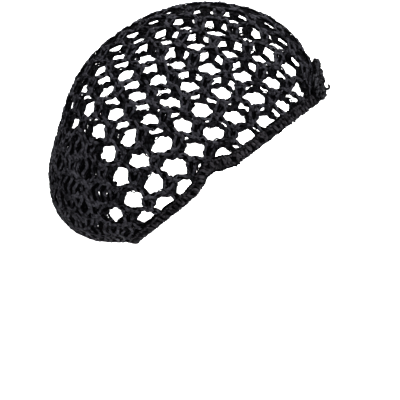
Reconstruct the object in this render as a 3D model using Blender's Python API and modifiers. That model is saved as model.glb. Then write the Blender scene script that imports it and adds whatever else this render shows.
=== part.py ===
"""Hairnet: a crocheted bag of open meshes on a gathered elastic edge, as it sits when worn.

Metres, +X to the front, +Y to the left, +Z up. The origin is the crown seat:
the point inside the top of the bag that bears its weight when it is worn.
"""
import math

import bmesh
import bpy
import numpy as np
from mathutils import Vector
from mathutils.geometry import delaunay_2d_cdt

# Size of the worn bag, in metres
BAG_LENGTH = 0.262
BAG_HEIGHT = 0.228
BAG_BREADTH = 0.170
SIDE_FULLNESS = 2.3
SEAT_FORWARD = 0.0095
NET_WALL = 0.003

# Opening: a slanting edge, high in front and low at the back, with a notch in each side
EDGE_TILT = math.radians(37.7)
EDGE_DROP = 0.0520
NOTCH_HEIGHT = 0.0090
NOTCH_BACK = 0.0085
NOTCH_WIDTH = 0.0150

# Close-worked casing along the edge
BAND_HEIGHT = 0.0085
BAND_THICKNESS = 0.0050
BAND_FULLNESS = 3.0

# Meshes: rows of holes that run front to back and dip to the front
MESH_PITCH = 0.0370
ROW_PITCH = 0.0228
ROW_DIP = math.radians(11.0)
HOLE_LENGTH = 0.0234
HOLE_HEIGHT = 0.0237
HOLE_SIDES = 8
FIRST_HOLE_FORWARD = 0.0114
FIRST_HOLE_UP = 0.0209
LEAST_RIB = 0.0022

KNOT_SNAP = 0.0050
BAND_CLEARANCE = 0.80

# Scrunched edge in front
RUFFLE_WIDTH = 0.068
RUFFLE_FOOT = 0.0045
RUFFLE_HEIGHT = 0.0335
RUFFLE_DEPTH = 0.0080
RUFFLE_ROLLS = 3
RUFFLE_ROLL_FULLNESS = 0.6
RUFFLE_VALLEY = 0.42
RUFFLE_END_SWELL = 0.2
RUFFLE_END_HEIGHT = 0.28
RUFFLE_SLIMMER_TOP = 0.28
RUFFLE_GATHERS = 9
RUFFLE_GATHER_DEPTH = 0.0009

# Gaps between pieces that touch on the real net
BAND_GAP = 0.0003
RUFFLE_GAP = 0.0005

# Fineness of the faceted solids
EDGE_STATIONS = 46
MIDLINE_STATIONS = 56
BAND_SIDES = 8
RUFFLE_STATIONS = 31
RUFFLE_LEVELS = 13
ARC_SAMPLES = 160
EDGE_SAMPLES = 801
EDGE_STEP = 0.002
MERGE = 0.0001

# Outline from the side, as shares of half the length and half the height, from the middle of the side
OUTLINE = (
    {"forward": 0.930, "up": 0.275},
    {"forward": 0.877, "up": 0.580},
    {"forward": 0.655, "up": 0.894},
    {"forward": 0.334, "up": 1.050},
    {"forward": 0.000, "up": 1.064},
    {"forward": -0.442, "up": 0.878},
    {"forward": -0.786, "up": 0.521},
    {"forward": -0.962, "up": 0.000},
    {"forward": -1.024, "up": -0.428},
    {"forward": -0.981, "up": -0.650},
    {"forward": -0.857, "up": -0.825},
    {"forward": -0.672, "up": -0.919},
    {"forward": -0.463, "up": -0.925},
    {"forward": -0.150, "up": -0.890},
    {"forward": 0.400, "up": -0.740},
    {"forward": 0.885, "up": -0.180},
)

# Where the net is bunched and its meshes are closed, in the same shares on the flat net
DRAWN_SHUT = (
    {"place": "back", "forward": -1.10, "up": -0.52, "half_length": 0.40, "half_height": 0.36},
    {"place": "low back", "forward": -0.60, "up": -1.22, "half_length": 0.36, "half_height": 0.26},
    {"place": "front", "forward": 1.20, "up": 0.48, "half_length": 0.24, "half_height": 0.32},
)


def make_material(name, colour, roughness):
    """Plain dull yarn."""
    material = bpy.data.materials.new(name)
    material.use_nodes = True
    shader = material.node_tree.nodes["Principled BSDF"]
    shader.inputs["Base Color"].default_value = (*colour, 1.0)
    shader.inputs["Roughness"].default_value = roughness
    shader.inputs["Metallic"].default_value = 0.0
    material.diffuse_color = (*colour, 1.0)
    return material


def outline_reach():
    """Turn and reach of each row of the outline, sorted by turn and repeated on both sides."""
    forward = np.array([row["forward"] for row in OUTLINE]) * BAG_LENGTH / 2
    up = np.array([row["up"] for row in OUTLINE]) * BAG_HEIGHT / 2
    turn = np.arctan2(up, forward) % math.tau
    order = np.argsort(turn)
    turn, far = turn[order], np.hypot(forward, up)[order]
    return np.concatenate((turn - math.tau, turn, turn + math.tau)), np.tile(far, 3)


OUTLINE_TURN, OUTLINE_FAR = outline_reach()


def reach(turn):
    """Distance from the middle of the side to the midline of the bag, seen from the side."""
    turn = np.mod(turn, math.tau)
    slope = np.gradient(OUTLINE_FAR, OUTLINE_TURN)
    right = np.searchsorted(OUTLINE_TURN, turn, side="right")
    left = right - 1
    span = OUTLINE_TURN[right] - OUTLINE_TURN[left]
    t = (turn - OUTLINE_TURN[left]) / span
    return (
        (2 * t**3 - 3 * t**2 + 1) * OUTLINE_FAR[left]
        + (t**3 - 2 * t**2 + t) * span * slope[left]
        + (3 * t**2 - 2 * t**3) * OUTLINE_FAR[right]
        + (t**3 - t**2) * span * slope[right]
    )


def half_breadth(share):
    """Half the breadth of the bag at a share of the way from the side's middle to the midline."""
    left_over = np.clip(1 - np.clip(share, 0, 1) ** SIDE_FULLNESS, 0, 1)
    return BAG_BREADTH / 2 * left_over ** (1 / SIDE_FULLNESS)


def arcs(far):
    """Shares and the lengths of net along them, from the side's middle to each midline reach."""
    share = np.sin(np.linspace(0, math.pi / 2, ARC_SAMPLES))
    out = np.asarray(far)[:, None] * share[None, :]
    step = np.hypot(np.diff(out, axis=1), np.diff(half_breadth(share))[None, :])
    length = np.concatenate((np.zeros((len(out), 1)), np.cumsum(step, axis=1)), axis=1)
    return share, length


def drape(flat):
    """Places of flat net points (along, up from the side's middle) on the left side of the bag."""
    turn = np.arctan2(flat[:, 1], flat[:, 0])
    way = np.hypot(flat[:, 0], flat[:, 1])
    far = reach(turn)
    share_steps, length = arcs(far)
    whole = length[:, -1]
    folded = np.where(way > whole, 2 * whole - way, way)
    share = np.array([np.interp(w, row, share_steps) for w, row in zip(folded, length)])
    side = np.where(way > whole, -1.0, 1.0)
    return np.column_stack(
        (share * far * np.cos(turn), side * half_breadth(share), share * far * np.sin(turn))
    )


def lay_flat(places):
    """Flat net points of places on the left side of the bag."""
    turn = np.arctan2(places[:, 2], places[:, 0])
    far = reach(turn)
    share = np.clip(np.hypot(places[:, 0], places[:, 2]) / far, 0, 1)
    share_steps, length = arcs(far)
    way = np.array([np.interp(s, share_steps, row) for s, row in zip(share, length)])
    return np.column_stack((way * np.cos(turn), way * np.sin(turn)))


def form(places):
    """Zero on the bag's surface, negative inside it."""
    share = np.hypot(places[:, 0], places[:, 2]) / reach(np.arctan2(places[:, 2], places[:, 0]))
    across = np.abs(places[:, 1]) / (BAG_BREADTH / 2)
    return share**SIDE_FULLNESS + across**SIDE_FULLNESS - 1


def outward(places):
    """Gradient of the form, which points out of the bag."""
    step = MERGE / 10
    columns = []
    for axis in np.eye(3):
        columns.append((form(places + step * axis) - form(places - step * axis)) / (2 * step))
    return np.column_stack(columns)


def onto_bag(places):
    """Nearest places on the bag's surface."""
    for _ in range(4):
        gradient = outward(places)
        size = np.sum(gradient**2, axis=1, keepdims=True)
        places = places - form(places)[:, None] * gradient / size
    return places


def unit(vectors):
    """Vectors of length one."""
    return vectors / np.linalg.norm(vectors, axis=1, keepdims=True)


EDGE_ALONG = np.array((math.cos(EDGE_TILT), 0.0, math.sin(EDGE_TILT)))
EDGE_UP = np.array((-math.sin(EDGE_TILT), 0.0, math.cos(EDGE_TILT)))


def lower_edge(shares):
    """Lower edge of the opening on the left side, from the front (0) to the back (1)."""
    along = np.linspace(-BAG_LENGTH / 2, BAG_LENGTH / 2, EDGE_SAMPLES)
    notch = NOTCH_HEIGHT * np.exp(-(((along + NOTCH_BACK) / NOTCH_WIDTH) ** 2))
    line = along[:, None] * EDGE_ALONG + (notch - EDGE_DROP)[:, None] * EDGE_UP
    inside = form(line) < 0
    line, along = line[inside], along[inside]
    swing = (np.cos(math.pi * np.asarray(shares)) + 1) / 2
    wanted = along[0] + swing * (along[-1] - along[0])
    edge = np.column_stack([np.interp(wanted, along, line[:, axis]) for axis in range(3)])
    turn = np.arctan2(edge[:, 2], edge[:, 0])
    share = np.hypot(edge[:, 0], edge[:, 2]) / reach(turn)
    edge[:, 1] = half_breadth(share)
    edge[(swing == 0) | (swing == 1), 1] = 0.0
    return edge


def edge_line(shares, height):
    """Line on the bag at a height over the lower edge, measured along the net."""
    places = lower_edge(shares)
    steps = int(math.ceil(height / EDGE_STEP))
    for _ in range(steps):
        run = np.gradient(places, axis=0)
        run[0], run[-1] = (0, 1, 0), (0, -1, 0)
        rise = unit(np.cross(unit(run), unit(outward(places))))
        rise = rise * np.sign(rise @ EDGE_UP)[:, None]
        places = onto_bag(places + height / steps * rise)
        places[0, 1], places[-1, 1] = 0.0, 0.0
    return places


def net_border():
    """Edge of the left half of the net: over the band from front to back, then home along the midline."""
    shares = np.linspace(0, 1, EDGE_STATIONS)
    foot = edge_line(shares, BAND_HEIGHT + BAND_GAP)
    start = math.atan2(foot[-1, 2], foot[-1, 0]) % math.tau
    end = math.atan2(foot[0, 2], foot[0, 0])
    turn = np.linspace(start, end, MIDLINE_STATIONS)[1:-1]
    midline = np.column_stack((reach(turn) * np.cos(turn), np.zeros_like(turn), reach(turn) * np.sin(turn)))
    return np.concatenate((foot, midline))


def mesh_directions():
    """Flat directions along the rows and up across them."""
    along = np.array((math.cos(ROW_DIP), -math.sin(ROW_DIP)))
    up = np.array((math.sin(ROW_DIP), math.cos(ROW_DIP)))
    return along, up


def mesh_middles():
    """Flat places of the middles of the meshes, row by row, over more than the whole net."""
    along, up = mesh_directions()
    first = np.array((FIRST_HOLE_FORWARD, FIRST_HOLE_UP))
    rows = int(BAG_HEIGHT / ROW_PITCH)
    columns = int(BAG_LENGTH / MESH_PITCH)
    places = []
    for row in range(-rows, rows + 1):
        for column in range(-columns, columns + 1):
            shift = column + 0.5 * (row % 2)
            places.append(first + shift * MESH_PITCH * along + row * ROW_PITCH * up)
    return np.array(places)


def mesh_corners(middle):
    """Flat places of the six knots round a mesh."""
    along, up = mesh_directions()
    half, low, high = MESH_PITCH / 2, ROW_PITCH / 3, ROW_PITCH * 2 / 3
    round_it = ((half, low), (0, high), (-half, low), (-half, -low), (0, -high), (half, -low))
    return np.array([middle + a * along + u * up for a, u in round_it])


def hole_outline(middle, cell):
    """Rounded hole in the flat net, clear of the ribs round its mesh."""
    along, up = mesh_directions()
    turn = math.tau * (np.arange(HOLE_SIDES) + 0.5) / HOLE_SIDES
    round_out = 1 / math.cos(math.pi / HOLE_SIDES) ** 0.5
    spokes = np.outer(np.cos(turn) * HOLE_LENGTH / 2 * round_out, along)
    spokes = spokes + np.outer(np.sin(turn) * HOLE_HEIGHT / 2 * round_out, up)
    run = np.roll(cell, -1, axis=0) - cell
    inward = np.column_stack((-run[:, 1], run[:, 0]))
    length = np.linalg.norm(inward, axis=1)
    inward, starts = inward[length > MERGE] / length[length > MERGE, None], cell[length > MERGE]
    room = np.sum(inward * (middle - starts), axis=1) - LEAST_RIB
    loss = -(spokes @ inward.T)
    reach_share = np.where(loss > 0, room / np.maximum(loss, MERGE**2), 1.0).min(axis=1)
    return middle + spokes * np.clip(reach_share, 0, 1)[:, None]


def nearest_on(points, line):
    """Nearest places on a line to each point."""
    start, run = line[:-1], np.diff(line, axis=0)
    to = points[:, None, :] - start[None, :, :]
    t = np.clip(np.sum(to * run, axis=2) / np.sum(run**2, axis=1), 0, 1)
    feet = start[None, :, :] + t[:, :, None] * run
    best = np.linalg.norm(points[:, None, :] - feet, axis=2).argmin(axis=1)
    return feet[np.arange(len(points)), best]


def from_line(points, line):
    """Least distance of each point from a closed line, negative outside it."""
    start, end = line, np.roll(line, -1, axis=0)
    run = end - start
    to = points[:, None, :] - start[None, :, :]
    t = np.clip(np.sum(to * run, axis=2) / np.sum(run**2, axis=1), 0, 1)
    gap = np.linalg.norm(to - t[:, :, None] * run, axis=2).min(axis=1)
    crosses = (start[None, :, 1] > points[:, None, 1]) != (end[None, :, 1] > points[:, None, 1])
    rise = np.where(np.abs(run[:, 1]) < 1e-12, 1e-12, run[:, 1])
    at = start[None, :, 0] + (points[:, None, 1] - start[None, :, 1]) / rise * run[None, :, 0]
    inside = np.sum(crosses & (points[:, None, 0] < at), axis=1) % 2 == 1
    return np.where(inside, gap, -gap)


def is_drawn_shut(middle):
    """True where the net is bunched and its meshes are closed."""
    for zone in DRAWN_SHUT:
        forward = (middle[0] / (BAG_LENGTH / 2) - zone["forward"]) / zone["half_length"]
        up = (middle[1] / (BAG_HEIGHT / 2) - zone["up"]) / zone["half_height"]
        if forward**2 + up**2 < 1:
            return True
    return False


def open_holes(border_flat):
    """Outlines of the holes that are cut through the left half, and half of those on the midline."""
    foot = border_flat[:EDGE_STATIONS]
    midline = np.concatenate((border_flat[EDGE_STATIONS - 1 :], border_flat[:1]))
    half_hole = HOLE_HEIGHT / 2
    holes = []
    for middle in mesh_middles():
        to_border = from_line(middle[None], border_flat)[0]
        to_foot = np.linalg.norm(middle - nearest_on(middle[None], foot)[0])
        if to_border < -half_hole / 2 or to_foot < half_hole * BAND_CLEARANCE or is_drawn_shut(middle):
            continue
        cell = mesh_corners(middle)
        feet = nearest_on(cell, midline)
        beyond = from_line(cell, border_flat)
        gap = np.linalg.norm(cell - feet, axis=1)
        near = gap < KNOT_SNAP
        if to_border > half_hole / 2:
            near |= (beyond < 0) & (gap < MESH_PITCH)
        cell[near] = feet[near]
        if near.any() and to_border > half_hole / 2:
            middle = cell.mean(axis=0)
        hole = hole_outline(middle, cell)
        on_foot, on_midline = nearest_on(hole, foot), nearest_on(hole, midline)
        short = np.linalg.norm(hole - on_foot, axis=1)
        too_low = (short < LEAST_RIB) | (from_line(hole, border_flat) < 0)
        too_low &= short < np.linalg.norm(hole - on_midline, axis=1)
        toward = middle - on_foot[too_low]
        hole[too_low] = on_foot[too_low] + LEAST_RIB * unit(toward)
        holes.append(hole)
    return holes


def build_net(material):
    """The bag: a flat net with its holes, laid over the form, mirrored and given its wall."""
    border = net_border()
    border_flat = lay_flat(border)
    holes = open_holes(border_flat)
    knots = np.concatenate([mesh_corners(middle)[:2] for middle in mesh_middles()])
    knots = knots[from_line(knots, border_flat) > KNOT_SNAP]

    points = [Vector(p) for p in border_flat]
    loops = [list(reversed(range(len(points))))]
    for hole in holes:
        loops.append(list(range(len(points), len(points) + len(hole))))
        points += [Vector(p) for p in hole]
    points += [Vector(p) for p in knots]
    flat, _, faces, first_points, _, first_faces = delaunay_2d_cdt(points, [], loops, 1, 1e-6)

    places = drape(np.array([(p.x, p.y) for p in flat]))
    for index, sources in enumerate(first_points):
        on_border = [source for source in sources if source < len(border)]
        if on_border:
            places[index] = border[on_border[0]]
        elif not sources:
            places[index, 1] = 0.0
    solid = [face for face, source in zip(faces, first_faces) if list(source) == [0]]

    mesh = bpy.data.meshes.new("mesh_net")
    mesh.from_pydata([tuple(p) for p in places + CENTRE], [], solid)
    tidy = bmesh.new()
    tidy.from_mesh(mesh)
    bmesh.ops.delete(tidy, geom=[v for v in tidy.verts if not v.link_faces], context="VERTS")
    bmesh.ops.remove_doubles(tidy, verts=tidy.verts, dist=MERGE)
    bmesh.ops.recalc_face_normals(tidy, faces=tidy.faces)
    if sum(face.normal.y * face.calc_area() for face in tidy.faces) < 0:
        bmesh.ops.reverse_faces(tidy, faces=tidy.faces)
    tidy.to_mesh(mesh)
    tidy.free()
    mesh.materials.append(material)
    net = bpy.data.objects.new("mesh_net", mesh)

    mirror = net.modifiers.new("other_half", "MIRROR")
    mirror.use_axis = (False, True, False)
    mirror.use_clip = True
    mirror.merge_threshold = MERGE
    wall = net.modifiers.new("wall", "SOLIDIFY")
    wall.thickness = NET_WALL
    wall.offset = 0.0
    wall.use_even_offset = True
    return net


def loft(name, sections, closed_run, material):
    """Closed solid through sections with the same number of points."""
    count, sides = len(sections), len(sections[0])
    faces = []
    for i in range(count if closed_run else count - 1):
        for k in range(sides):
            a, b = i * sides + k, i * sides + (k + 1) % sides
            c, d = (i + 1) % count * sides + (k + 1) % sides, (i + 1) % count * sides + k
            faces.append((a, b, c, d))
    if not closed_run:
        faces.append(tuple(range(sides)))
        faces.append(tuple(reversed(range((count - 1) * sides, count * sides))))
    mesh = bpy.data.meshes.new(name)
    mesh.from_pydata([tuple(p) for p in np.concatenate(sections)], [], faces)
    turned = bmesh.new()
    turned.from_mesh(mesh)
    bmesh.ops.triangulate(turned, faces=turned.faces)
    bmesh.ops.recalc_face_normals(turned, faces=turned.faces)
    turned.to_mesh(mesh)
    turned.free()
    mesh.shade_smooth()
    mesh.set_sharp_from_angle(angle=math.radians(50))
    mesh.materials.append(material)
    return bpy.data.objects.new(name, mesh)


def build_band(material):
    """The casing: a full rounded strip that runs once round the opening."""
    shares = np.linspace(0, 1, EDGE_STATIONS)
    low, high = edge_line(shares, 0.0), edge_line(shares, BAND_HEIGHT)
    mirrored = np.array((1, -1, 1))
    low = np.concatenate((low, (low * mirrored)[-2:0:-1]))
    high = np.concatenate((high, (high * mirrored)[-2:0:-1]))
    middle, rise = (low + high) / 2, unit(high - low)
    run = unit(np.roll(middle, -1, axis=0) - np.roll(middle, 1, axis=0))
    out = unit(np.cross(rise, run))
    turn = math.tau * np.arange(BAND_SIDES) / BAND_SIDES
    along_rise = np.sign(np.cos(turn)) * np.abs(np.cos(turn)) ** (2 / BAND_FULLNESS)
    along_out = np.sign(np.sin(turn)) * np.abs(np.sin(turn)) ** (2 / BAND_FULLNESS)
    sections = []
    for place, up, side in zip(middle + CENTRE, rise, out):
        sections.append(
            place
            + np.outer(along_rise * BAND_HEIGHT / 2, up)
            + np.outer(along_out * BAND_THICKNESS / 2, side)
        )
    return loft("edge_band", sections, True, material)


def ruffle_shares():
    """Shares of the lower edge from the middle of the front to the ruffle's end."""
    shares = np.linspace(0, 0.5, ARC_SAMPLES)
    across = lower_edge(shares)[:, 1]
    wanted = np.linspace(0, RUFFLE_WIDTH / 2, (RUFFLE_STATIONS + 1) // 2)
    return np.interp(wanted, across, shares)


def ruffle_line(height):
    """Line on the bag under the ruffle, from its middle to its left end."""
    fine = np.linspace(0, 1, ARC_SAMPLES)
    line = edge_line(fine, height)
    shares = ruffle_shares()
    return np.column_stack([np.interp(shares, fine, line[:, axis]) for axis in range(3)])


def build_ruffle(material):
    """Three rolls of bunched net in front, slimmer to the top and to both ends."""
    rise = np.linspace(0, 1, RUFFLE_LEVELS)
    back_lines = [ruffle_line(RUFFLE_FOOT + RUFFLE_HEIGHT * r) for r in rise]
    stations = len(back_lines[0])
    half = []
    for i in range(stations):
        across = i / (stations - 1)
        swell = math.sqrt(max(1 - across**2, RUFFLE_END_SWELL**2))
        column = np.array([line[i] for line in back_lines])
        base = column[0]
        tall = RUFFLE_END_HEIGHT + (1 - RUFFLE_END_HEIGHT) * swell
        column = onto_bag(base + (column - base) * tall)
        out = unit(outward(column))
        rolls = np.abs(np.sin(math.pi * RUFFLE_ROLLS * rise)) ** RUFFLE_ROLL_FULLNESS
        slim = 1 - RUFFLE_SLIMMER_TOP * rise
        depth = RUFFLE_DEPTH * swell * slim * (1 - RUFFLE_VALLEY * (1 - rolls))
        gathers = math.cos(math.pi * RUFFLE_GATHERS * across)
        depth = depth + RUFFLE_GATHER_DEPTH * gathers * swell * rolls
        inner_gap = BAND_THICKNESS / 2 + RUFFLE_GAP
        inner = column + out * inner_gap
        outer = column + out * (inner_gap + depth)[:, None]
        half.append(np.concatenate((inner, outer[::-1])))
    mirrored = np.array((1, -1, 1))
    sections = [section * mirrored for section in half[:0:-1]] + half
    return loft("front_ruffle", [section + CENTRE for section in sections], False, material)


def seat_under_crown():
    """Place of the side's middle, so that the inside of the crown is at the origin."""
    turn = np.linspace(math.radians(60), math.radians(120), EDGE_SAMPLES)
    forward, up = reach(turn) * np.cos(turn), reach(turn) * np.sin(turn)
    crown = np.interp(SEAT_FORWARD, forward[::-1], up[::-1])
    return np.array((-SEAT_FORWARD, 0.0, NET_WALL / 2 - crown))


CENTRE = seat_under_crown()


def clear_scene():
    """Starts from an empty scene."""
    for thing in list(bpy.data.objects):
        bpy.data.objects.remove(thing, do_unlink=True)


def build():
    """All pieces, in a collection of their own."""
    clear_scene()
    parts = bpy.data.collections.new("hairnet")
    bpy.context.scene.collection.children.link(parts)
    yarn = make_material("crochet_yarn", (0.014, 0.014, 0.016), 0.85)
    close_yarn = make_material("close_worked_yarn", (0.010, 0.010, 0.012), 0.88)
    bunched_yarn = make_material("bunched_yarn", (0.012, 0.012, 0.014), 0.86)
    for piece in (build_net(yarn), build_band(close_yarn), build_ruffle(bunched_yarn)):
        parts.objects.link(piece)


build()
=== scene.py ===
import math

import bpy
import numpy as np
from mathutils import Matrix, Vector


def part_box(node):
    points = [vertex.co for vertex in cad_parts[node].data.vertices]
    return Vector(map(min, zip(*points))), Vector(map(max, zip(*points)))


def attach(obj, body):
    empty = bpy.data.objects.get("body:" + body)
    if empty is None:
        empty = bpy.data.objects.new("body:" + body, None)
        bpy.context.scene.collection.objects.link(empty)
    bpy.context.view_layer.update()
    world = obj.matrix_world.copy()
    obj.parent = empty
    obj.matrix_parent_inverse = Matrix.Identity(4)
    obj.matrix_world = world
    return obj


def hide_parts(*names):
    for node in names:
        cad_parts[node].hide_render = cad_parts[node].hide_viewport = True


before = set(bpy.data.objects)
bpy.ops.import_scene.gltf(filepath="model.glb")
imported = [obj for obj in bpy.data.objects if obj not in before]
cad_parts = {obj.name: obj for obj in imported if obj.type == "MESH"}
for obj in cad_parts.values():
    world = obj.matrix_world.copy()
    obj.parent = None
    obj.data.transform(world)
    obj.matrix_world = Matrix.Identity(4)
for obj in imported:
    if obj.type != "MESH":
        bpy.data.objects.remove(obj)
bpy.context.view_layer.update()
bpy.ops.object.select_all(action="DESELECT")

# Slanting chains of the bag
# Soft black ribbon yarn closes each open mesh above and below with a loose chain: two strands that cross
# as they turn, a thin one wound round them and a flat one behind. The fabric lies on the rounded form
# that the worn bag takes, full at the back and tight over the crown.
NET_WALL = 0.003
BAG_LENGTH = 0.262
BAG_HEIGHT = 0.228
SIDE_FULLNESS = 2.3
SEAT_FORWARD = 0.0095
OUTLINE = (
    {"forward": 0.930, "up": 0.275},
    {"forward": 0.877, "up": 0.580},
    {"forward": 0.655, "up": 0.894},
    {"forward": 0.334, "up": 1.050},
    {"forward": 0.000, "up": 1.064},
    {"forward": -0.442, "up": 0.878},
    {"forward": -0.786, "up": 0.521},
    {"forward": -0.962, "up": 0.000},
    {"forward": -1.024, "up": -0.428},
    {"forward": -0.981, "up": -0.650},
    {"forward": -0.857, "up": -0.825},
    {"forward": -0.672, "up": -0.919},
    {"forward": -0.463, "up": -0.925},
    {"forward": -0.150, "up": -0.890},
    {"forward": 0.400, "up": -0.740},
    {"forward": 0.885, "up": -0.180},
)
net_low, net_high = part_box("mesh_net")
bag_breadth = net_high[1] - net_low[1] - NET_WALL


def outline_reach():
    """Turn and reach of each row of the outline, sorted, with a round before it and a round after."""
    forward = np.array([row["forward"] for row in OUTLINE]) * BAG_LENGTH / 2
    up = np.array([row["up"] for row in OUTLINE]) * BAG_HEIGHT / 2
    turn = np.arctan2(up, forward) % math.tau
    order = np.argsort(turn)
    turn, far = turn[order], np.hypot(forward, up)[order]
    return np.concatenate((turn - math.tau, turn, turn + math.tau)), np.tile(far, 3)


outline_turn, outline_far = outline_reach()
outline_slope = np.gradient(outline_far, outline_turn)


def reach(turn):
    """Distance from the middle of the side to the midline of the bag, seen from the side."""
    turn = np.mod(turn, math.tau)
    right = np.searchsorted(outline_turn, turn, side="right")
    left = right - 1
    span = outline_turn[right] - outline_turn[left]
    t = (turn - outline_turn[left]) / span
    return (
        (2 * t**3 - 3 * t**2 + 1) * outline_far[left]
        + (t**3 - 2 * t**2 + t) * span * outline_slope[left]
        + (3 * t**2 - 2 * t**3) * outline_far[right]
        + (t**3 - t**2) * span * outline_slope[right]
    )


def half_breadth(share):
    """Half the breadth of the bag at a share of the way from the side's middle to the midline."""
    left_over = np.clip(1 - np.clip(share, 0, 1) ** SIDE_FULLNESS, 0, 1)
    return bag_breadth / 2 * left_over ** (1 / SIDE_FULLNESS)


REACH_STEPS = 48
REACH_MARGIN = 0.1
WAY_STEPS = 400
LAST_CELL = 1.001
shortest, longest = outline_far.min() * (1 - REACH_MARGIN), outline_far.max() * (1 + REACH_MARGIN)
far_steps = np.linspace(shortest, longest, REACH_STEPS)
swing_steps = np.linspace(0, math.pi / 2, WAY_STEPS)
way_steps = np.linspace(0, 1, WAY_STEPS)


def way_tables():
    """For each reach, the length of net from the side's middle to the midline, and the swing along it."""
    whole, swing = [], []
    for far in far_steps:
        share = np.sin(swing_steps)
        step = np.hypot(np.diff(far * share), np.diff(half_breadth(share)))
        length = np.concatenate(((0,), np.cumsum(step)))
        whole.append(length[-1])
        swing.append(np.interp(way_steps, length / length[-1], swing_steps))
    return np.array(whole), np.array(swing)


whole_way, swing_table = way_tables()


def between(grid, row, column):
    """Values of a grid at places between its rows and columns."""
    i, j = row.astype(int), column.astype(int)
    spare = (1,) * (grid.ndim - 2)
    a, b = (row - i).reshape(i.shape + spare), (column - j).reshape(j.shape + spare)
    near = (1 - b) * grid[i, j] + b * grid[i, j + 1]
    beyond = (1 - b) * grid[i + 1, j] + b * grid[i + 1, j + 1]
    return (1 - a) * near + a * beyond


def drape(flat):
    """Places on the left side of the bag where points of the flat net come to lie."""
    turn = np.arctan2(flat[..., 1], flat[..., 0])
    far = reach(turn)
    way = np.clip(np.hypot(flat[..., 0], flat[..., 1]) / np.interp(far, far_steps, whole_way), 0, 1)
    row = np.clip((far - far_steps[0]) / (far_steps[1] - far_steps[0]), 0, REACH_STEPS - LAST_CELL)
    column = np.clip(way * (WAY_STEPS - 1), 0, WAY_STEPS - LAST_CELL)
    share = np.sin(between(swing_table, row, column))
    return np.stack((share * far * np.cos(turn), half_breadth(share), share * far * np.sin(turn)), axis=-1)


def lay_flat(places):
    """Points of the flat net that come to lie at places on the left side of the bag."""
    turn = np.arctan2(places[:, 2], places[:, 0])
    far = reach(turn)
    swing = np.arcsin(np.clip(np.hypot(places[:, 0], places[:, 2]) / far, 0, 1))
    row = np.clip(np.round((far - far_steps[0]) / (far_steps[1] - far_steps[0])), 0, REACH_STEPS - 1)
    share = np.array([np.interp(s, swing_table[r], way_steps) for s, r in zip(swing, row.astype(int))])
    way = share * np.interp(far, far_steps, whole_way)
    return np.stack((way * np.cos(turn), way * np.sin(turn)), axis=-1)


def form(places):
    """Zero on the bag's surface and negative inside it."""
    share = np.hypot(places[..., 0], places[..., 2]) / reach(np.arctan2(places[..., 2], places[..., 0]))
    across = np.abs(places[..., 1]) / (bag_breadth / 2)
    return share**SIDE_FULLNESS + across**SIDE_FULLNESS - 1


TINY = 1e-12
SLOPE_STEP = 1e-5
SURFACE_STEPS = 4


def unit(vectors):
    """Vectors of length one."""
    return vectors / np.maximum(np.linalg.norm(vectors, axis=-1, keepdims=True), TINY)


def gradient(places):
    """Slope of the form, which points out of the bag."""
    steps = SLOPE_STEP * np.eye(3)
    slopes = [(form(places + step) - form(places - step)) / (2 * SLOPE_STEP) for step in steps]
    return np.stack(slopes, axis=-1)


def onto_bag(places):
    """Nearest places on the bag's surface."""
    for _ in range(SURFACE_STEPS):
        slope = gradient(places)
        places = places - form(places)[..., None] * slope / np.sum(slope**2, axis=-1, keepdims=True)
    return places


CROWN_SPAN = (math.radians(60), math.radians(120))
CROWN_SAMPLES = 601
crown_turn = np.linspace(*CROWN_SPAN, CROWN_SAMPLES)
crown_forward, crown_up = reach(crown_turn) * np.cos(crown_turn), reach(crown_turn) * np.sin(crown_turn)
seat_up = np.interp(SEAT_FORWARD, crown_forward[::-1], crown_up[::-1])
side_middle = np.array((-SEAT_FORWARD, 0.0, NET_WALL / 2 - seat_up))

EDGE_TILT = math.radians(37.7)
EDGE_DROP = 0.0520
NOTCH_HEIGHT = 0.0090
NOTCH_BACK = 0.0085
NOTCH_WIDTH = 0.0150
BAND_HEIGHT = 0.0085
EDGE_STEP = 0.002
EDGE_SAMPLES = 801
edge_along = np.array((math.cos(EDGE_TILT), 0.0, math.sin(EDGE_TILT)))
edge_up = np.array((-math.sin(EDGE_TILT), 0.0, math.cos(EDGE_TILT)))


def length_along(lines):
    """Length along lines of points, from 0 at their starts."""
    steps = np.linalg.norm(np.diff(lines, axis=-2), axis=-1)
    return np.concatenate((np.zeros((*steps.shape[:-1], 1)), steps.cumsum(axis=-1)), axis=-1)


def points_at(wanted, along, line):
    """Points of a line at the wanted places along it."""
    return np.stack([np.interp(wanted, along, line[:, axis]) for axis in range(3)], axis=-1)


def lower_edge(shares):
    """Lower edge of the opening on the left side, from the front (0) to the back (1)."""
    along = np.linspace(-BAG_LENGTH / 2, BAG_LENGTH / 2, EDGE_SAMPLES)
    notch = NOTCH_HEIGHT * np.exp(-(((along + NOTCH_BACK) / NOTCH_WIDTH) ** 2))
    line = along[:, None] * edge_along + (notch - EDGE_DROP)[:, None] * edge_up
    inside = form(line) < 0
    line, along = line[inside], along[inside]
    swing = (np.cos(math.pi * np.asarray(shares)) + 1) / 2
    wanted = along[0] + swing * (along[-1] - along[0])
    edge = points_at(wanted, along, line)
    turn = np.arctan2(edge[:, 2], edge[:, 0])
    edge[:, 1] = half_breadth(np.hypot(edge[:, 0], edge[:, 2]) / reach(turn))
    edge[(swing == 0) | (swing == 1), 1] = 0.0
    return edge


def edge_line(shares, height):
    """Line on the bag at a height over the lower edge, measured along the net."""
    places = lower_edge(shares)
    steps = int(math.ceil(height / EDGE_STEP))
    for _ in range(steps):
        run = np.gradient(places, axis=0)
        run[0], run[-1] = (0, 1, 0), (0, -1, 0)
        rise = unit(np.cross(unit(run), unit(gradient(places))))
        rise = rise * np.sign(rise @ edge_up)[:, None]
        places = onto_bag(places + height / steps * rise)
        places[0, 1], places[-1, 1] = 0.0, 0.0
    return places


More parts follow.
